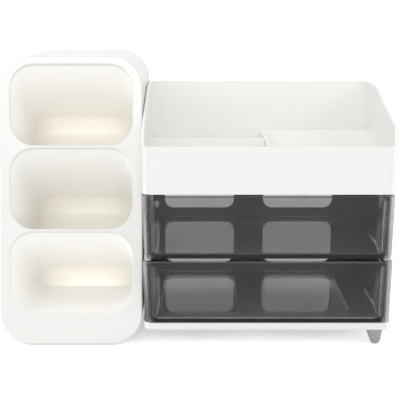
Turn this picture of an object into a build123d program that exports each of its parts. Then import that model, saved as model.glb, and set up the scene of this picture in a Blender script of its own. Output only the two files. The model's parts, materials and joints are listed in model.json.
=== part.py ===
from build123d import *
import math
import os

# Makeup organizer: a leaning brush tower with three pockets, joined to a unit of
# two smoke-clear drawers under an open tray. Millimetres, +Z up, +X to the viewer's
# right, the drawers open towards -Y. The origin is on the table, under the middle.

os.makedirs("parts", exist_ok=True)

# Overall sizes
depth = 165.0
height = 243.0
tower_width = 121.2
unit_width = 212.0
tower_gap = 0.6  # between the tower's side and the drawer unit

# Heights of the drawer unit, from the table
base_low = 14.7
base_high = 20.6
drawer_high = 53.0
drawer_pitch = 56.4
tray_low = 132.2
tray_front_high = 171.9
tray_side_front_high = 186.2
tray_back_high = 213.0

# Clearances
run_gap = 0.3  # a drawer over the surface that it slides on
front_gap = 0.6  # behind a drawer front's wrapped ends
seat_gap = 0.15  # a panel in its groove, a screw in its hole

# Tower
tower_lean = 11.5  # degrees, front face leaning back
tower_corner = 27.0
pad_height = 1.5
pad_radius = 6.0
pad_side = 26.0  # from the tower's middle
pad_front = 14.0  # from the tower's front
pad_rear = 148.0
shell_wall = 2.4
flange_thick = 3.0
cover_thick = 2.2
cover_rim_wall = 1.6
cover_rim_high = 2.6
rim_round = 1.2

# Brush pockets
pocket_side_rim = 8.4
pocket_corner = 20.0
pocket_wall = 1.1
pocket_top_rim = 7.2
pocket_lip = 27.0  # below the lowest mouth
mouth_bevel = 0.9
cup_gap = 0.2  # between the walls of two cups
pocket_slope = 28.5  # degrees below level
pocket_draft = 1.2  # degrees
pocket_end_round = 16.0
pocket_end_bevel = 9.0  # outside, behind the round
pocket_end_margin = 5.0  # between the inside of a cup's end and the tower's back
low_pocket_end_margin = 22.5
low_pocket_slope = 7.7  # degrees below level, the lowest pocket's floor before its draft
low_pocket_corner = 18.0
low_pocket_step = 0.4  # from the front plate's edge up to its floor
low_pocket_ease = 0.4  # its floor's form is this much wider than the mouth, each side

# Drawer unit frame
outline_corner = 9.0
panel_thick = 2.5
panel_inset = 1.2  # side panels stand in from the tray's outline
panel_front_setback = 11.0
groove_depth = 1.2
shelf_thick = 2.4
shelf_setback = 12.0
ledge_width = 3.0
ledge_height = 2.0
back_inset = 3.2
back_panel_margin = 2.4

# Openings in the back panel and the base plate
window_width = 69.0
window_pitch = 98.0
window_shift = -8.8  # the pair stands left of the unit's middle
window_height = 39.0
window_corner = 9.0
window_sill = 10.0  # above the surface that the drawer slides on
hole_front = 25.0
hole_length = 122.0
hole_corner = 12.0

# Base plate
base_skin = 2.5
base_rim = 2.5
hole_rim = 2.0
base_bevel = 0.6

# Drawers
drawer_front_width = 211.6
drawer_front_thick = 3.0
drawer_return_thick = 2.4
drawer_draft = 1.2  # degrees
drawer_rim_bevel = 0.5
tub_half_width = 101.0
tub_corner = 10.0
tub_wall = 2.2
tub_floor = 2.6
tub_floor_bevel = 1.6
tub_below_front = 4.0
tub_back_gap = 1.2

# Tray
tray_wall = 2.5
tray_floor = 2.3
tray_rim_bevel = 0.5
divider_thick = 2.0
cross_divider_back = 105.0
short_divider_back = 50.0
side_rise_back = 9.0
side_level_back = 108.0
side_rise_run = 1.0
side_bend_round = 3.0
rib_wall = 1.5
rib_height = 2.0
rib_margin = 20.0  # from a rib's end to the tray's outline

# Feet
foot_top_radius = 7.6
foot_tip_radius = 4.6
foot_tip_flat = 0.2
foot_splay = 8.0  # degrees, out towards the corner
foot_inset_x = 13.5
foot_inset_y = 9.5
foot_boss_radius = 8.5

# Screws
link_shank = 4.0
link_head = 8.0
link_head_high = 2.2
link_boss_radius = 4.6
link_front = 55.0  # from the front
link_rear = 140.0
link_low = 45.0  # from the table
link_top = 112.0
cover_shank = 3.0
cover_head = 6.0
cover_boss_radius = 3.6
cover_boss_long = 14.0
cover_boss_sink = 1.0  # how far a boss runs into the wall
cover_screw_long = 12.0
cover_screw_low = 65.6  # from the table
cover_screw_top = 194.4
foot_shank = 3.5
foot_head = 7.0
foot_head_high = 1.8
foot_hole_deep = 7.0
foot_screw_deep = 6.0  # in the foot

# How far a cutting tool reaches past what it cuts
cut_over = 5.0

# Places worked out from the sizes
total_width = tower_width + tower_gap + unit_width
tower_x = -total_width / 2 + tower_width / 2
unit_x = total_width / 2 - unit_width / 2
unit_left = unit_x - unit_width / 2
tower_right = tower_x + tower_width / 2
front_y = -depth / 2
back_y = depth / 2
tower_high = height - pad_height
tower_mid_z = pad_height + tower_high / 2
lean = math.radians(tower_lean)
slope_length = tower_high / math.cos(lean)
pocket_width = tower_width - 2 * pocket_side_rim
pocket_divider = 2 * pocket_wall + cup_gap
end_margins = (low_pocket_end_margin, pocket_end_margin, pocket_end_margin)
mouth_height = (slope_length - pocket_lip - pocket_top_rim - 2 * pocket_divider) / 3
panel_outer = unit_width / 2 - panel_inset
panel_inner = panel_outer - panel_thick
panel_top = tray_low
shelf_high = base_high + drawer_pitch
shelf_front_y = front_y + shelf_setback
drawer_return = panel_front_setback - front_gap
back_panel_y = back_y - back_inset - panel_thick / 2
back_panel_front_y = back_y - back_inset - panel_thick
panel_back_y = back_panel_front_y - seat_gap
panel_front_y = front_y + panel_front_setback


def lean_plane(inset):
    """The tower's leaning front face, moved back by inset."""
    face = Plane(
        origin=(tower_x, front_y, pad_height),
        x_dir=(1, 0, 0),
        z_dir=(0, -math.cos(lean), math.sin(lean)),
    )
    return face.offset(-inset)


def facing_front(x, y, z):
    """An upright plane at a point, seen from the front, with +X right and +Z up."""
    return Plane(origin=(x, y, z), x_dir=(1, 0, 0), z_dir=(0, -1, 0))


def facing_right(x, y, z):
    """An upright plane that looks along +X, with +Y right and +Z up."""
    return Plane(origin=(x, y, z), x_dir=(0, 1, 0), z_dir=(1, 0, 0))


def mouth_low(index):
    """Distance up the leaning face to the bottom of a pocket's mouth, 0 is the lowest."""
    return pocket_lip + index * (mouth_height + pocket_divider)


def pocket_form(index, grow):
    """A slanted pocket's cavity, or with grow the outside of its cup."""
    down = math.radians(pocket_slope)
    half_slant = mouth_height / 2 * math.sin(down - lean)
    lead = half_slant + cut_over
    spread = grow + lead * math.tan(math.radians(pocket_draft))
    inward = Vector(0, math.cos(down), -math.sin(down))
    middle = lean_plane(0).from_local_coords((0, mouth_low(index) + mouth_height / 2, 0))
    top = lean_plane(0).from_local_coords((0, mouth_low(index) + mouth_height, 0))
    ceiling = (back_y - end_margins[index] - top.Y) / math.cos(down)
    with BuildPart() as form:
        with BuildSketch(Plane(origin=middle - inward * lead, x_dir=(-1, 0, 0), z_dir=inward)):
            RectangleRounded(
                pocket_width + 2 * spread,
                mouth_height * math.cos(down - lean) + 2 * spread,
                pocket_corner + spread,
            )
        extrude(amount=cut_over + ceiling + grow, taper=pocket_draft)
        end_edges = form.faces().sort_by(Axis((0, 0, 0), inward))[-1].edges()
        if grow > 0:
            chamfer(end_edges, pocket_end_bevel)
        else:
            fillet(end_edges, pocket_end_round)
    return form.part


def low_pocket_form(grow):
    """The lowest pocket: slanted like the others, over a nearly level floor with round sides."""
    down = math.radians(low_pocket_slope)
    lead = 2 * cut_over
    spread = grow + lead * math.tan(math.radians(pocket_draft))
    inward = Vector(0, math.cos(down), -math.sin(down))
    drop = flange_thick * math.tan(math.radians(pocket_slope) - lean)
    start = lean_plane(flange_thick).from_local_coords((0, pocket_lip - drop + low_pocket_step, 0))
    high = mouth_height + 2 * pocket_corner
    with BuildPart() as form:
        with BuildSketch(Plane(origin=start - inward * lead, x_dir=(-1, 0, 0), z_dir=inward)):
            with Locations((0, high / 2 - spread)):
                RectangleRounded(
                    pocket_width + 2 * (low_pocket_ease + spread),
                    high,
                    low_pocket_corner + spread,
                )
        extrude(amount=depth, taper=pocket_draft)
        add(pocket_form(0, grow), mode=Mode.INTERSECT)
    return form.part


def cup(outside, inside):
    """A pocket's cup, from the back of the tower's front plate."""
    with BuildPart() as walls:
        add(outside)
        add(inside, mode=Mode.SUBTRACT)
        split(bisect_by=lean_plane(flange_thick), keep=Keep.BOTTOM)
    return walls


def tower_outline(inset):
    """The tower's rounded outline, drawn on the sketch plane in use."""
    RectangleRounded(tower_width - 2 * inset, tower_high - 2 * inset, tower_corner - inset)


# Brush tower: sleeve, front plate, three pocket cups, back cover and pads
cover_screw_x = tower_width / 2 - shell_wall - cover_boss_radius + cover_boss_sink
cover_screw_places = [
    (tower_x + side * cover_screw_x, z) for side in (-1, 1) for z in (cover_screw_low, cover_screw_top)
]
link_places = [(front_y + y, z) for y in (link_front, link_rear) for z in (link_low, link_top)]

with BuildPart() as tower_shell:
    with BuildSketch(facing_front(tower_x, back_y - cover_thick, tower_mid_z)):
        tower_outline(0)
        with BuildSketch(mode=Mode.PRIVATE) as hollow:
            tower_outline(shell_wall)
        add(hollow.sketch, mode=Mode.SUBTRACT)
    extrude(amount=depth)
    split(bisect_by=lean_plane(flange_thick), keep=Keep.BOTTOM)
    for x, z in cover_screw_places:
        with BuildSketch(facing_front(x, back_y - cover_thick, z)):
            Circle(cover_boss_radius)
            Circle(cover_shank / 2 + seat_gap, mode=Mode.SUBTRACT)
        extrude(amount=cover_boss_long)
    for y, z in link_places:
        with BuildSketch(facing_right(tower_right, y, z)):
            Circle(link_shank / 2 + seat_gap)
        extrude(amount=-2 * shell_wall, mode=Mode.SUBTRACT)

with BuildPart() as tower_front:
    seat_rise = flange_thick * math.tan(lean)
    with BuildSketch(lean_plane(0)):
        with Locations((0, (seat_rise + slope_length) / 2)):
            RectangleRounded(tower_width, slope_length - seat_rise, tower_corner)
    extrude(amount=-flange_thick)
    fillet(tower_front.faces().sort_by(Axis((0, 0, 0), lean_plane(0).z_dir))[-1].edges(), rim_round)
    for index in range(3):
        add(pocket_form(index, 0), mode=Mode.SUBTRACT)
    mouth_edges = []
    for edge in tower_front.edges():
        place = lean_plane(0).to_local_coords(edge.center())
        if abs(place.Z) < 0.01 and abs(place.X) < pocket_width / 2 + mouth_bevel:
            mouth_edges.append(edge)
    chamfer(mouth_edges, mouth_bevel)

low_pocket = cup(low_pocket_form(pocket_wall), low_pocket_form(0))
middle_pocket = cup(pocket_form(1, pocket_wall), pocket_form(1, 0))
top_pocket = cup(pocket_form(2, pocket_wall), pocket_form(2, 0))

with BuildPart() as tower_back_cover:
    with BuildSketch(facing_front(tower_x, back_y, tower_mid_z)):
        tower_outline(0)
    extrude(amount=cover_thick)
    with BuildSketch(facing_front(tower_x, back_y - cover_thick, tower_mid_z)):
        tower_outline(shell_wall + seat_gap)
        with BuildSketch(mode=Mode.PRIVATE) as rim_inside:
            tower_outline(shell_wall + seat_gap + cover_rim_wall)
        add(rim_inside.sketch, mode=Mode.SUBTRACT)
    extrude(amount=cover_rim_high)
    for x, z in cover_screw_places:
        with BuildSketch(facing_front(x, back_y - cover_thick, z)):
            Circle(cover_boss_radius + seat_gap)
        extrude(amount=cover_rim_high, mode=Mode.SUBTRACT)
        with BuildSketch(facing_front(x, back_y, z)):
            Circle(cover_shank / 2 + seat_gap)
        extrude(amount=cover_thick, mode=Mode.SUBTRACT)
        with BuildSketch(facing_front(x, back_y, z)):
            Circle(cover_head / 2 + seat_gap)
        extrude(amount=cover_thick / 2, mode=Mode.SUBTRACT)

with BuildPart() as cover_screws:
    for x, z in cover_screw_places:
        with BuildSketch(facing_front(x, back_y, z)):
            Circle(cover_head / 2)
        extrude(amount=cover_thick / 2)
        with BuildSketch(facing_front(x, back_y - cover_thick / 2, z)):
            Circle(cover_shank / 2)
        extrude(amount=cover_screw_long)

with BuildPart() as tower_pads:
    for side in (-1, 1):
        for y in (pad_front, pad_rear):
            with BuildSketch(Plane(origin=(tower_x + side * pad_side, front_y + y, 0))):
                Circle(pad_radius)
            extrude(amount=pad_height)

# Screws through the tower's side wall into the left side panel's bosses
link_inside = tower_right - shell_wall
panel_outer_left = unit_x - panel_outer

with BuildPart() as link_screws:
    for y, z in link_places:
        with BuildSketch(facing_right(link_inside - link_head_high, y, z)):
            Circle(link_head / 2)
        extrude(amount=link_head_high)
        with BuildSketch(facing_right(link_inside, y, z)):
            Circle(link_shank / 2)
        extrude(amount=panel_outer_left + panel_thick / 2 - link_inside)

# Base plate: a thin skin with a skirt all round and round its two openings
foot_places = [
    (unit_x + unit_width / 2 - foot_inset_x, front_y + foot_inset_y, -1),
    (unit_x + unit_width / 2 - foot_inset_x, back_y - foot_inset_y, 1),
]
hole_mid_y = front_y + hole_front + hole_length / 2
window_x = [unit_x + window_shift + s * window_pitch / 2 for s in (-1, 1)]

with BuildPart() as base_plate:
    with BuildSketch(Plane.XY.offset(base_low)):
        with Locations((unit_x, 0)):
            RectangleRounded(unit_width, depth, outline_corner)
    extrude(amount=base_high - base_low)
    chamfer(base_plate.edges().group_by(Axis.Z)[-1], base_bevel)
    chamfer(base_plate.edges().group_by(Axis.Z)[0], base_bevel)
    with BuildSketch(Plane.XY.offset(base_low)):
        with Locations((unit_x, 0)):
            RectangleRounded(unit_width - 2 * base_rim, depth - 2 * base_rim, outline_corner - base_rim)
        for x in window_x:
            with Locations((x, hole_mid_y)):
                RectangleRounded(
                    window_width + 2 * hole_rim,
                    hole_length + 2 * hole_rim,
                    hole_corner + hole_rim,
                    mode=Mode.SUBTRACT,
                )
        for x, y, side in foot_places:
            with Locations((x, y)):
                Circle(foot_boss_radius, mode=Mode.SUBTRACT)
    extrude(amount=base_high - base_low - base_skin, mode=Mode.SUBTRACT)
    with BuildSketch(Plane.XY.offset(base_low)):
        for x in window_x:
            with Locations((x, hole_mid_y)):
                RectangleRounded(window_width, hole_length, hole_corner)
    extrude(amount=base_high - base_low, mode=Mode.SUBTRACT)
    with BuildSketch(Plane.XY.offset(base_high)):
        for side in (-1, 1):
            groove_x = unit_x + side * (panel_inner + panel_thick / 2)
            with Locations((groove_x, (panel_front_y + panel_back_y) / 2)):
                Rectangle(panel_thick + 2 * seat_gap, panel_back_y - panel_front_y + 2 * seat_gap)
        with Locations((unit_x, back_panel_y)):
            Rectangle(unit_width - 2 * back_panel_margin + 2 * seat_gap, panel_thick + 2 * seat_gap)
    extrude(amount=-groove_depth, mode=Mode.SUBTRACT)
    with BuildSketch(Plane.XY.offset(base_high)):
        for x, y, side in foot_places:
            with Locations((x, y)):
                Circle(foot_shank / 2 + seat_gap)
    extrude(amount=base_low - base_high, mode=Mode.SUBTRACT)
    with BuildSketch(Plane.XY.offset(base_high)):
        for x, y, side in foot_places:
            with Locations((x, y)):
                Circle(foot_head / 2 + seat_gap)
    extrude(amount=-2 * seat_gap - foot_head_high, mode=Mode.SUBTRACT)


def panel_outline():
    """A side panel's rectangle, drawn on a plane whose right is +Y and up is +Z."""
    low = base_high - groove_depth
    with Locations(((panel_front_y + panel_back_y) / 2, (low + panel_top) / 2)):
        Rectangle(panel_back_y - panel_front_y, panel_top - low)


def side_panel(side):
    """A side panel with the ledge that carries the shelf, and on the left the link bosses."""
    inner_x = unit_x + side * panel_inner
    with BuildPart() as panel:
        with BuildSketch(facing_right(inner_x, 0, 0)):
            panel_outline()
        extrude(amount=side * panel_thick)
        ledge_z = shelf_high - shelf_thick - ledge_height / 2
        ledge_long = panel_back_y - shelf_front_y
        with BuildSketch(facing_right(inner_x, shelf_front_y + ledge_long / 2, ledge_z)):
            Rectangle(ledge_long, ledge_height)
        extrude(amount=-side * ledge_width)
        if side < 0:
            for y, z in link_places:
                with BuildSketch(facing_right(panel_outer_left, y, z)):
                    Circle(link_boss_radius)
                extrude(amount=tower_right - panel_outer_left)
            for y, z in link_places:
                with BuildSketch(facing_right(tower_right, y, z)):
                    Circle(link_shank / 2 + seat_gap)
                extrude(
                    amount=panel_outer_left - tower_right + panel_thick / 2 + seat_gap,
                    mode=Mode.SUBTRACT,
                )
    return panel


left_side_panel = side_panel(-1)
right_side_panel = side_panel(1)

with BuildPart() as back_panel:
    with BuildSketch(facing_front(unit_x, back_y - back_inset, 0)):
        low = base_high - groove_depth
        with Locations((0, (low + panel_top) / 2)):
            Rectangle(unit_width - 2 * back_panel_margin, panel_top - low)
        for x in window_x:
            for floor_z in (base_high, shelf_high):
                with Locations((x - unit_x, floor_z + window_sill + window_height / 2)):
                    RectangleRounded(window_width, window_height, window_corner, mode=Mode.SUBTRACT)
    extrude(amount=panel_thick)

with BuildPart() as mid_shelf:
    with BuildSketch(Plane.XY.offset(shelf_high - shelf_thick)):
        shelf_back = back_panel_front_y - seat_gap
        with Locations((unit_x, (shelf_front_y + shelf_back) / 2)):
            Rectangle(2 * (panel_inner - seat_gap), shelf_back - shelf_front_y)
    extrude(amount=shelf_thick)

# Feet on the right: splayed cones with a rounded tip, each on a screw


def foot(x, y, side):
    """A tapered foot under the base plate at x, y; side is -1 at the front, 1 at the back."""
    splay = math.radians(foot_splay)
    reach = (base_low - foot_tip_radius) * math.tan(splay) / math.sqrt(2)
    tip = Vector(x + reach, y + side * reach, foot_tip_radius - foot_tip_flat)
    top = Vector(x, y, base_low)
    axis = (top - tip).normalized()
    length = (top - tip).length
    lift = math.atan((foot_top_radius - foot_tip_radius) / length)
    rise = length + cut_over
    wide = foot_tip_radius / math.cos(lift) + rise * math.tan(lift)
    across = axis.cross(Vector(0, 1, 0)).normalized()
    with BuildPart() as cone:
        with BuildSketch(Plane(origin=tip, x_dir=across, z_dir=across.cross(axis))):
            with BuildLine():
                start = (0, -foot_tip_radius)
                tangent = (foot_tip_radius * math.cos(lift), -foot_tip_radius * math.sin(lift))
                RadiusArc(start, tangent, -foot_tip_radius)
                Polyline(tangent, (wide, rise), (0, rise), start)
            make_face()
        revolve(axis=Axis(tip, axis))
        split(bisect_by=Plane.XY.offset(base_low), keep=Keep.BOTTOM)
        split(bisect_by=Plane.XY, keep=Keep.TOP)
        with BuildSketch(Plane(origin=(x, y, base_low))):
            Circle(foot_shank / 2 + seat_gap)
        extrude(amount=-foot_hole_deep, mode=Mode.SUBTRACT)
    return cone


foot_front = foot(*foot_places[0])
foot_rear = foot(*foot_places[1])

with BuildPart() as foot_screws:
    for x, y, side in foot_places:
        head_low = base_high - 2 * seat_gap - foot_head_high
        with BuildSketch(Plane(origin=(x, y, head_low))):
            Circle(foot_head / 2)
        extrude(amount=foot_head_high)
        with BuildSketch(Plane(origin=(x, y, head_low))):
            Circle(foot_shank / 2)
        extrude(amount=base_low - head_low - foot_screw_deep)

# Open tray on top


def tray_side_cut():
    """Everything above the tray's side walls, seen from the side and cut away."""
    with BuildPart() as cut:
        with BuildSketch(facing_right(unit_left - cut_over, 0, 0)):
            with BuildLine():
                rise_y = front_y + side_rise_back
                level_y = front_y + side_level_back
                above = tray_back_high + 4 * cut_over
                FilletPolyline(
                    (front_y - cut_over, tray_front_high),
                    (rise_y, tray_front_high),
                    (rise_y + side_rise_run, tray_side_front_high),
                    (level_y, tray_back_high),
                    (level_y + cut_over, above),
                    radius=side_bend_round,
                )
                Polyline(
                    (level_y + cut_over, above),
                    (front_y - cut_over, above),
                    (front_y - cut_over, tray_front_high),
                )
            make_face()
        extrude(amount=unit_width + 2 * cut_over)
    return cut.part


with BuildPart() as top_tray:
    with BuildSketch(Plane.XY.offset(tray_low)):
        with Locations((unit_x, 0)):
            RectangleRounded(unit_width, depth, outline_corner)
    extrude(amount=tray_back_high - tray_low)
    with BuildSketch(Plane.XY.offset(tray_low + tray_floor)):
        with Locations((unit_x, 0)):
            RectangleRounded(unit_width - 2 * tray_wall, depth - 2 * tray_wall, outline_corner - tray_wall)
    extrude(amount=height, mode=Mode.SUBTRACT)
    add(tray_side_cut(), mode=Mode.SUBTRACT)
    rim_edges = []
    for edge in top_tray.edges():
        across = edge.geom_type == GeomType.LINE and abs(edge.length - tray_wall) < 0.01
        if edge.bounding_box().min.Z > tray_front_high - 0.01 and not across:
            rim_edges.append(edge)
    chamfer(rim_edges, tray_rim_bevel)
    with BuildSketch(Plane.XY.offset(tray_low + tray_floor / 2)):
        cross_y = front_y + cross_divider_back
        inner_front_y = front_y + tray_wall / 2
        with Locations((unit_x, cross_y)):
            Rectangle(unit_width - tray_wall, divider_thick)
        with Locations((unit_x, (inner_front_y + cross_y) / 2)):
            Rectangle(divider_thick, cross_y - inner_front_y)
        with Locations((unit_x - unit_width / 4, front_y + short_divider_back)):
            Rectangle(unit_width / 2 - tray_wall, divider_thick)
    extrude(amount=tray_front_high - tray_low - tray_floor / 2)
    with BuildSketch(Plane.XY.offset(tray_low)):
        for side in (-1, 1):
            with Locations((unit_x + side * (panel_inner - seat_gap - rib_wall / 2), 0)):
                Rectangle(rib_wall, depth - 2 * rib_margin)
        with Locations((unit_x, back_panel_front_y - seat_gap - rib_wall / 2)):
            Rectangle(unit_width - 2 * rib_margin, rib_wall)
    extrude(amount=-rib_height)

# Drawers


def drawer(low):
    """A clear drawer: a tub behind a front whose ends wrap round to the side panels."""
    front_back_y = front_y + drawer_return
    tub_high = drawer_high - tub_below_front
    tub_back_y = back_panel_front_y - tub_back_gap
    with BuildPart() as tub:
        tub_front_y = front_y + drawer_front_thick / 2
        with BuildSketch(Plane.XY.offset(low + tub_high)):
            with Locations((unit_x, (tub_front_y + tub_back_y) / 2)):
                RectangleRounded(2 * tub_half_width, tub_back_y - tub_front_y, tub_corner)
        extrude(amount=-tub_high, taper=drawer_draft)
    with BuildPart() as cavity:
        flare = tub_below_front * math.tan(math.radians(drawer_draft))
        cavity_front_y = front_y + drawer_front_thick
        cavity_back_y = tub_back_y - tub_wall + flare
        with BuildSketch(Plane.XY.offset(low + drawer_high)):
            with Locations((unit_x, (cavity_front_y + cavity_back_y) / 2)):
                RectangleRounded(
                    2 * (tub_half_width - tub_wall + flare),
                    cavity_back_y - cavity_front_y,
                    tub_corner - tub_wall + flare,
                )
        extrude(amount=-(drawer_high - tub_floor), taper=drawer_draft)
        chamfer(cavity.faces().sort_by(Axis.Z)[0].edges(), tub_floor_bevel)
    with BuildPart() as whole:
        with BuildSketch(Plane.XY.offset(low + drawer_high)):
            with Locations((unit_x, front_y + depth / 2)):
                RectangleRounded(drawer_front_width, depth, outline_corner)
        extrude(amount=-drawer_high, taper=drawer_draft)
        with BuildSketch(Plane.XY.offset(low + drawer_high)):
            with Locations((unit_x, front_y + drawer_front_thick + depth / 2)):
                RectangleRounded(
                    drawer_front_width - 2 * drawer_return_thick,
                    depth,
                    outline_corner - drawer_return_thick,
                )
        extrude(amount=-drawer_high, taper=drawer_draft, mode=Mode.SUBTRACT)
        split(bisect_by=Plane.XZ.offset(-front_back_y), keep=Keep.TOP)
        add(tub.part)
        add(cavity.part, mode=Mode.SUBTRACT)
        chamfer(whole.faces().sort_by(Axis.Z)[-1].edges(), drawer_rim_bevel)
    return whole


lower_drawer = drawer(base_high + run_gap)
upper_drawer = drawer(shelf_high + run_gap)

pieces = {
    "base_plate": base_plate,
    "left_side_panel": left_side_panel,
    "right_side_panel": right_side_panel,
    "back_panel": back_panel,
    "mid_shelf": mid_shelf,
    "top_tray": top_tray,
    "lower_drawer": lower_drawer,
    "upper_drawer": upper_drawer,
    "foot_front": foot_front,
    "foot_rear": foot_rear,
    "foot_screws": foot_screws,
    "tower_shell": tower_shell,
    "tower_front": tower_front,
    "top_pocket": top_pocket,
    "middle_pocket": middle_pocket,
    "low_pocket": low_pocket,
    "tower_back_cover": tower_back_cover,
    "cover_screws": cover_screws,
    "tower_pads": tower_pads,
    "link_screws": link_screws,
}

for name, piece in pieces.items():
    piece.part.label = name
    export_step(piece.part, f"parts/{name}.step")
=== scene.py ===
import json
import math

import bmesh
import bpy
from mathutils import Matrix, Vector


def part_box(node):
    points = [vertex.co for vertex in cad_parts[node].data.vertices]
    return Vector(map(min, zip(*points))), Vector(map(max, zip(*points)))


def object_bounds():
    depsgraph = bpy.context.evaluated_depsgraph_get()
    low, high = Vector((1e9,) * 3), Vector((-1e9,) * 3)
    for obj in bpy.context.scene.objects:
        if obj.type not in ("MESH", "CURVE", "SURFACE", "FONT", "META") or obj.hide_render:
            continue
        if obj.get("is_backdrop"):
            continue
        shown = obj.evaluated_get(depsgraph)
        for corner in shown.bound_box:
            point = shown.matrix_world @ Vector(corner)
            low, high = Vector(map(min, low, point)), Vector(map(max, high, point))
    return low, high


# Looks of the makeup organizer. Metres, in the row frame: +X to the viewer's right,
# the drawers open towards -Y, the table is at Z 0.

# The camera, in front of the object, looking down by CAMERA_DOWN degrees. Sensor and lens in mm.
CAMERA_PLACE = (0.00365, -0.8341, 0.2853)
CAMERA_DOWN = 11.84
CAMERA_SENSOR = 36.0
CAMERA_LENS = 83.7
CAMERA_NEAR = 0.05
CAMERA_FAR = 20.0

# Each white plastic: two close tones, the least and the most roughness, and the sheen. The
# roughness stays over 0.29, because the denoiser leaves smudges where it wanders across 0.27.
BODY_WHITE = ((0.84, 0.835, 0.816), (0.848, 0.844, 0.827), 0.3, 0.35, 0.15)
# The tray's white is paler than the body's: painted light, so that the tray's inside looks as lit
# as its outside
TRAY_WHITE_PAINTED_LIGHT = ((0.955, 0.945, 0.922), (0.96, 0.951, 0.93), 0.3, 0.35, 0.3)
# The cups' white is paler than the body's: painted light, so that the cups look as lit as the
# outside
CUP_WHITE_PAINTED_LIGHT = ((0.972, 0.962, 0.938), (0.977, 0.968, 0.947), 0.34, 0.4, 0.6)
WHITE_IOR = 1.49
WHITE_COAT = 0.15
WHITE_COAT_ROUGHNESS = 0.12
WHITE_SHEEN_ROUGHNESS = 0.45

# Painted shade: deep in the cups the tone turns warmer and darker, between these two depths in Y
CUP_PAINTED_SHADE_TONE = (0.965, 0.936, 0.872)
CUP_PAINTED_SHADE_START = -0.01
CUP_PAINTED_SHADE_FULL = 0.06

# The tray's outer skin has the body's tone; inside it, the tray is painted paler as painted light
TRAY_OUTSIDE_TONE = (0.844, 0.839, 0.822)
TRAY_SKIN = 0.0012

ACRYLIC_TONE = (0.577, 0.576, 0.582)
ACRYLIC_IOR = 1.36
# The share of the lamps' light that goes straight through each face of the clear plastic
ACRYLIC_CLEAR = 0.66

FOOT_TONES = ((0.26, 0.265, 0.27), (0.32, 0.325, 0.33))
STEEL_TONE = (0.55, 0.55, 0.56)
FOAM_TONES = ((0.7, 0.7, 0.69), (0.8, 0.8, 0.79))
FOAM_ROUGHNESS = 0.85
GRAIN_DEPTH = 0.0002

PAPER_TONE = (0.9, 0.9, 0.9)
PAPER_ROUGHNESS = 0.9
# How far the paper is lifted towards white, and between which distances from the object the
# lift fades in where the paper is seen through clear plastic
PAPER_LIFT = 0.5
SHADE_NEAR = 0.3
SHADE_FAR = 1.2

# The paper sweep: a floor that bends up into a backdrop
FLOOR_FRONT = -3.0
BEND_START = 1.2
BEND_RADIUS = 0.8
BEND_STEPS = 12
BACKDROP_TOP = 4.0
PAPER_HALF_WIDTH = 4.0

# Each lamp: its name, its place, its width and height, and its power in watts
LAMP_AIM = (0.0, 0.0, 0.12)
LAMPS = (
    ("front", (-0.1, -1.75, 0.95), 1.1, 0.7, 8.5),
    ("left", (-1.5, -0.8, 1.25), 1.0, 0.8, 8.0),
    ("right", (1.5, -0.8, 1.25), 1.0, 0.8, 8.0),
    ("top", (0.0, -0.2, 2.4), 1.8, 1.8, 2.0),
    ("fill", (-0.1, -1.9, 0.2), 1.0, 0.4, 14.5),
)
WORLD_STRENGTH = 0.56

CUPS = ("low_pocket", "middle_pocket", "top_pocket")
# The tray and the base plate take the tray's white, which is painted paler inside as painted
# light
PAINTED_LIGHT_INSIDE = ("top_tray", "base_plate")

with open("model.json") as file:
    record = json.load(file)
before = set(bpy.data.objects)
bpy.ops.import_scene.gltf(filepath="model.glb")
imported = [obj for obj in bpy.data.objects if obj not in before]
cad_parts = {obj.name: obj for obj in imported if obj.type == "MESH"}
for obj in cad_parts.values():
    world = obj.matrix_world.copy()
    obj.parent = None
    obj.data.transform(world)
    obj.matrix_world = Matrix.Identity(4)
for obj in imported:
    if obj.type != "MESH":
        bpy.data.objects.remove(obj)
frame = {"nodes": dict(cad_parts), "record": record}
cad_low, cad_high = (tuple(v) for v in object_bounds())
nodes = frame["nodes"]
scene = bpy.context.scene
scene.view_settings.view_transform = "Standard"

camera_data = bpy.data.cameras.new("camera")
camera_data.sensor_width = CAMERA_SENSOR
camera_data.lens = CAMERA_LENS
camera_data.clip_start = CAMERA_NEAR
camera_data.clip_end = CAMERA_FAR
camera = bpy.data.objects.new("camera", camera_data)
camera.location = CAMERA_PLACE
camera.rotation_euler = (math.radians(90.0 - CAMERA_DOWN), 0.0, 0.0)
scene.collection.objects.link(camera)
scene.camera = camera


# Node helpers


def new_material(name):
    """A material with nodes on, its tree and its Principled shader."""
    material = bpy.data.materials.new(name)
    material.use_nodes = True
    return material, material.node_tree, material.node_tree.nodes["Principled BSDF"]


def noise(tree, scale, detail):
    """Noise in object coordinates, in metres, so it doesn't depend on a piece's size."""
    place = tree.nodes.new("ShaderNodeTexCoord")
    texture = tree.nodes.new("ShaderNodeTexNoise")
    texture.inputs["Scale"].default_value = scale
    texture.inputs["Detail"].default_value = detail
    tree.links.new(place.outputs["Object"], texture.inputs["Vector"])
    return texture.outputs["Fac"]


def spread(tree, value, low, high, start=0.3, end=0.7):
    """Maps a value between start and end onto low to high."""
    node = tree.nodes.new("ShaderNodeMapRange")
    node.inputs["From Min"].default_value = start
    node.inputs["From Max"].default_value = end
    node.inputs["To Min"].default_value = low
    node.inputs["To Max"].default_value = high
    tree.links.new(value, node.inputs["Value"])
    return node.outputs["Result"]


def blend(tree, factor, first, second):
    """Blends by a 0 to 1 value between two colours, each a socket or a tuple."""
    node = tree.nodes.new("ShaderNodeMix")
    node.data_type = "RGBA"
    for socket, colour in ((node.inputs["A"], first), (node.inputs["B"], second)):
        if isinstance(colour, tuple):
            socket.default_value = (*colour, 1.0)
        else:
            tree.links.new(colour, socket)
    tree.links.new(factor, node.inputs["Factor"])
    return node.outputs["Result"]


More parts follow.
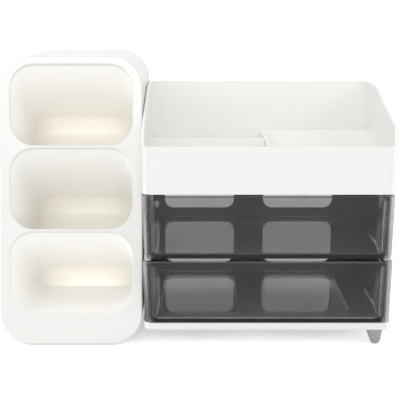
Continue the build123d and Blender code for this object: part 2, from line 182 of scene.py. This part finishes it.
def maths(tree, kind, first, second=0.0):
    """A Math node on two inputs, each a socket or a number."""
    node = tree.nodes.new("ShaderNodeMath")
    node.operation = kind
    for socket, value in zip(node.inputs, (first, second)):
        if isinstance(value, (int, float)):
            socket.default_value = value
        else:
            tree.links.new(value, socket)
    return node.outputs[0]


def coordinates(tree):
    """The sockets with the X, Y and Z of a point, in object coordinates."""
    place = tree.nodes.new("ShaderNodeTexCoord")
    split = tree.nodes.new("ShaderNodeSeparateXYZ")
    tree.links.new(place.outputs["Object"], split.inputs[0])
    return tuple(split.outputs)


def from_middle(tree, value, low, high):
    """How far a value lies from the middle between low and high."""
    return maths(tree, "ABSOLUTE", maths(tree, "SUBTRACT", value, (high + low) / 2))


def uneven_tone(tree, shader, first, second, scale, detail):
    """A colour that wanders between two tones."""
    tone = blend(tree, noise(tree, scale, detail), first, second)
    tree.links.new(tone, shader.inputs["Base Color"])


def uneven_gloss(tree, shader, low, high, scale, detail):
    """A roughness that wanders between two values."""
    roughness = spread(tree, noise(tree, scale, detail), low, high)
    tree.links.new(roughness, shader.inputs["Roughness"])


def grain(tree, shader, scale, detail, strength):
    """Fine bump on a surface."""
    node = tree.nodes.new("ShaderNodeBump")
    node.inputs["Strength"].default_value = strength
    node.inputs["Distance"].default_value = GRAIN_DEPTH
    tree.links.new(noise(tree, scale, detail), node.inputs["Height"])
    tree.links.new(node.outputs["Normal"], shader.inputs["Normal"])


# Materials


def moulded_white(name, first, second, rough_low, rough_high, sheen):
    """Glossy white moulded plastic, a little uneven in tone and in gloss."""
    material, tree, shader = new_material(name)
    uneven_tone(tree, shader, first, second, scale=14.0, detail=2.0)
    uneven_gloss(tree, shader, rough_low, rough_high, scale=25.0, detail=1.0)
    shader.inputs["IOR"].default_value = WHITE_IOR
    shader.inputs["Coat Weight"].default_value = WHITE_COAT
    shader.inputs["Coat Roughness"].default_value = WHITE_COAT_ROUGHNESS
    shader.inputs["Sheen Weight"].default_value = sheen
    shader.inputs["Sheen Roughness"].default_value = WHITE_SHEEN_ROUGHNESS
    grain(tree, shader, scale=900.0, detail=1.0, strength=0.015)
    return material


def cup_white_painted_light_and_shade():
    """White for the cups. It is paler than the body as painted light, and warmer and darker in
    the cups' depth as painted shade.
    """
    material = moulded_white("white_cups_painted_light_and_shade", *CUP_WHITE_PAINTED_LIGHT)
    tree = material.node_tree
    tone = tree.nodes["Principled BSDF"].inputs["Base Color"]
    # Painted shade: warmer and darker deep in the cups
    painted_shade_depth = spread(tree, coordinates(tree)[1], 0.0, 1.0, start=CUP_PAINTED_SHADE_START, end=CUP_PAINTED_SHADE_FULL)
    tree.links.new(blend(tree, painted_shade_depth, tone.links[0].from_socket, CUP_PAINTED_SHADE_TONE), tone)
    return material


def tray_white_painted_light():
    """White for the tray. It is paler inside than on the outer skin of its walls, which is
    painted light inside.
    """
    material = moulded_white("white_tray_painted_light", *TRAY_WHITE_PAINTED_LIGHT)
    tree = material.node_tree
    tone = tree.nodes["Principled BSDF"].inputs["Base Color"]
    low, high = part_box("top_tray")
    place = coordinates(tree)
    inside = 1.0
    for axis in (0, 1):
        off = from_middle(tree, place[axis], low[axis], high[axis])
        near = maths(tree, "LESS_THAN", off, (high[axis] - low[axis]) / 2 - TRAY_SKIN)
        inside = maths(tree, "MULTIPLY", near, inside)
    tree.links.new(blend(tree, inside, TRAY_OUTSIDE_TONE, tone.links[0].from_socket), tone)
    return material


def smoke_acrylic():
    """Smoke-clear plastic. Part of the lamps' light goes through it and lights what is behind."""
    material, tree, shader = new_material("smoke_clear")
    shader.inputs["Base Color"].default_value = (*ACRYLIC_TONE, 1.0)
    shader.inputs["Transmission Weight"].default_value = 1.0
    shader.inputs["IOR"].default_value = ACRYLIC_IOR
    uneven_gloss(tree, shader, 0.002, 0.012, scale=30.0, detail=2.0)
    shadow = tree.nodes.new("ShaderNodeLightPath").outputs["Is Shadow Ray"]
    alpha = spread(tree, shadow, 1.0, 1.0 - ACRYLIC_CLEAR, start=0.0, end=1.0)
    tree.links.new(alpha, shader.inputs["Alpha"])
    return material


def satin_metal():
    """The feet."""
    material, tree, shader = new_material("foot_metal")
    shader.inputs["Metallic"].default_value = 1.0
    uneven_tone(tree, shader, *FOOT_TONES, scale=300.0, detail=3.0)
    uneven_gloss(tree, shader, 0.29, 0.38, scale=240.0, detail=3.0)
    grain(tree, shader, scale=900.0, detail=2.0, strength=0.06)
    return material


def screw_steel():
    """The screws."""
    material, tree, shader = new_material("screw_steel")
    shader.inputs["Metallic"].default_value = 1.0
    shader.inputs["Base Color"].default_value = (*STEEL_TONE, 1.0)
    uneven_gloss(tree, shader, 0.29, 0.42, scale=500.0, detail=3.0)
    return material


def pad_foam():
    """The pads under the tower."""
    material, tree, shader = new_material("pad_foam")
    uneven_tone(tree, shader, *FOAM_TONES, scale=900.0, detail=4.0)
    shader.inputs["Roughness"].default_value = FOAM_ROUGHNESS
    grain(tree, shader, scale=1500.0, detail=4.0, strength=0.4)
    return material


finishes = {
    "white_gloss": moulded_white("white_gloss", *BODY_WHITE),
    "smoke_clear": smoke_acrylic(),
    "foot_metal": satin_metal(),
    "screw_steel": screw_steel(),
    "pad_foam": pad_foam(),
}
cup_finish_painted_light_and_shade = cup_white_painted_light_and_shade()
tray_finish_painted_light = tray_white_painted_light()
for part in frame["record"]["subparts"]:
    thing = nodes[part["node"]]
    finish = finishes[part["material_slot"]]
    if part["node"] in CUPS:
        finish = cup_finish_painted_light_and_shade
    if part["node"] in PAINTED_LIGHT_INSIDE:
        finish = tray_finish_painted_light
    thing.data.materials.clear()
    thing.data.materials.append(finish)


# Floor and backdrop: one pale sweep that stays behind the object


def sweep():
    """A floor that curves up into a backdrop."""
    mesh = bpy.data.meshes.new("sweep")
    form = bmesh.new()
    profile = [(FLOOR_FRONT, 0.0), (BEND_START, 0.0)]
    for step in range(1, BEND_STEPS + 1):
        angle = math.radians(90.0 * step / BEND_STEPS)
        back = BEND_START + BEND_RADIUS * math.sin(angle)
        profile.append((back, BEND_RADIUS * (1 - math.cos(angle))))
    profile.append((BEND_START + BEND_RADIUS, BACKDROP_TOP))
    sides = (-PAPER_HALF_WIDTH, PAPER_HALF_WIDTH)
    rows = [[form.verts.new((x, y, z)) for x in sides] for y, z in profile]
    for near, far in zip(rows, rows[1:]):
        form.faces.new((near[0], near[1], far[1], far[0]))
    for face in form.faces:
        face.smooth = True
    form.to_mesh(mesh)
    form.free()
    thing = bpy.data.objects.new("sweep", mesh)
    scene.collection.objects.link(thing)
    return thing


def paper():
    """White paper. Seen by the camera, in gloss or through clear plastic, it is lifted towards
    white over its own shading, which keeps the object's shadow. Through clear plastic the lift
    fades in with the distance from the object, so that the floor near it stays in its shade.
    Light that has met a matt surface finds no lift, so the paper adds none to the object."""
    material, tree, shader = new_material("paper")
    shader.inputs["Base Color"].default_value = (*PAPER_TONE, 1.0)
    shader.inputs["Roughness"].default_value = PAPER_ROUGHNESS
    shader.inputs["Specular IOR Level"].default_value = 0.0
    shader.inputs["Emission Color"].default_value = (1.0, 1.0, 1.0, 1.0)
    place = coordinates(tree)
    away = []
    for axis in (0, 1):
        off = from_middle(tree, place[axis], cad_low[axis], cad_high[axis])
        past = maths(tree, "SUBTRACT", off, (cad_high[axis] - cad_low[axis]) / 2)
        away.append(maths(tree, "MAXIMUM", past, 0.0))
    distance = maths(tree, "ADD", *away)
    far = spread(tree, distance, 0.0, 1.0, start=SHADE_NEAR, end=SHADE_FAR)
    ray = tree.nodes.new("ShaderNodeLightPath").outputs
    close = maths(tree, "SUBTRACT", 1.0, far)
    dark = maths(tree, "MULTIPLY", ray["Is Transmission Ray"], close)
    seen = maths(tree, "MAXIMUM", ray["Is Camera Ray"], ray["Is Glossy Ray"])
    seen = maths(tree, "MAXIMUM", seen, ray["Is Transmission Ray"])
    seen = maths(tree, "SUBTRACT", seen, dark)
    direct = maths(tree, "LESS_THAN", ray["Diffuse Depth"], 0.5)
    seen = maths(tree, "MULTIPLY", seen, direct)
    tree.links.new(maths(tree, "MULTIPLY", seen, PAPER_LIFT), shader.inputs["Emission Strength"])
    return material


backdrop = sweep()
backdrop.data.materials.append(paper())
backdrop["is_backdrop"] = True


# Light


def area(name, place, wide, tall, power):
    """A soft box at a place, turned to the object."""
    data = bpy.data.lights.new(name, "AREA")
    data.shape = "RECTANGLE"
    data.size = wide
    data.size_y = tall
    data.energy = power
    lamp = bpy.data.objects.new(name, data)
    lamp.location = place
    aim = Vector(LAMP_AIM) - Vector(place)
    lamp.rotation_euler = aim.to_track_quat("-Z", "Y").to_euler()
    scene.collection.objects.link(lamp)
    return lamp


lamps = {lamp[0]: area(*lamp) for lamp in LAMPS}

# The fill lights the cups alone, which are as pale as the outside in the photograph
cups = bpy.data.collections.new("cups")
for name in CUPS:
    cups.objects.link(nodes[name])
lamps["fill"].light_linking.receiver_collection = cups

world = bpy.data.worlds.new("studio")
scene.world = world
world.use_nodes = True
sky = world.node_tree.nodes["Background"]
sky.inputs["Color"].default_value = (1.0, 1.0, 1.0, 1.0)
sky.inputs["Strength"].default_value = WORLD_STRENGTH
